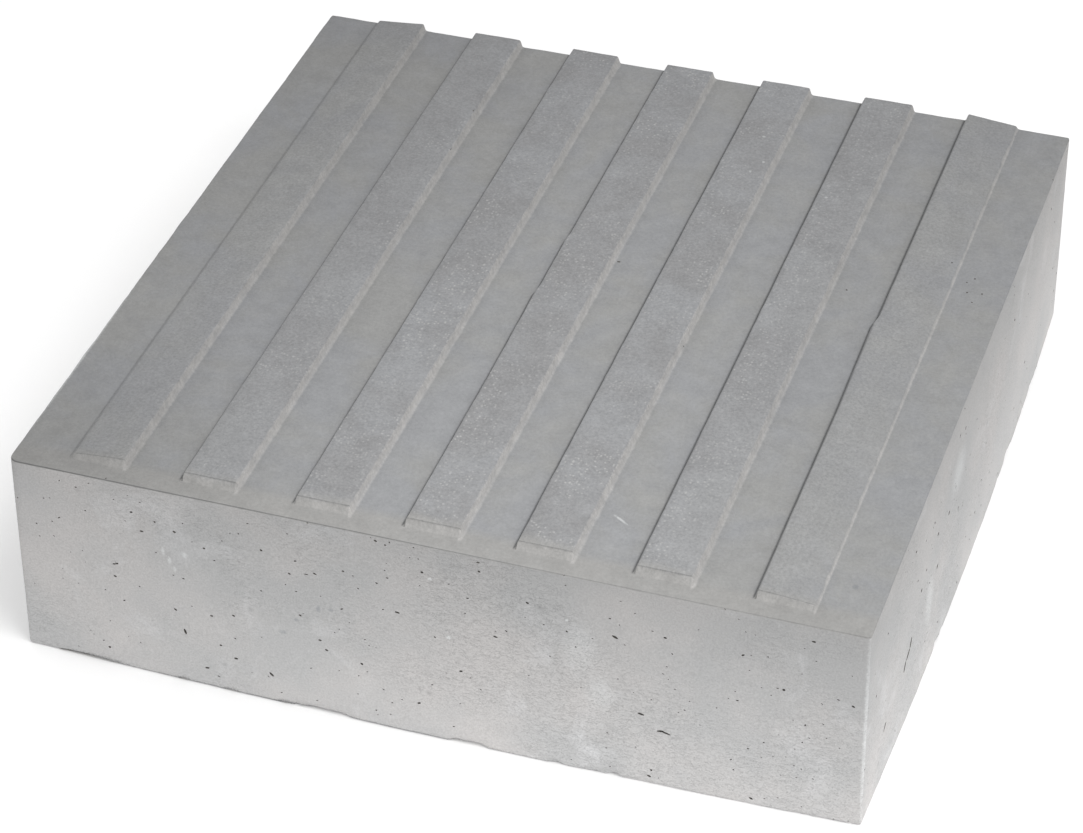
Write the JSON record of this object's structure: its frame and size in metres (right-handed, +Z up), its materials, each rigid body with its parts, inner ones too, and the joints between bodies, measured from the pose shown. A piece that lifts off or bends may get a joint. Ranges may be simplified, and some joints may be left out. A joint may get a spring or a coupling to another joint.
{
  "type": "tactile paving slab",
  "caption": "Square concrete paving slab with low parallel guiding ribs on its top face, for blind and partially sighted walkers.",
  "frame": {"origin": "centre of the underside", "axes": "+Z up out of the ribbed face, +Y along the ribs towards the edge where they run out, +X across the ribs"},
  "size_m": [0.407, 0.407, 0.114],
  "materials": {
    "concrete": "cast grey concrete, worn"
  },
  "bodies": {
    "root": {"paving_slab": "concrete"}
  },
  "joints": []
}
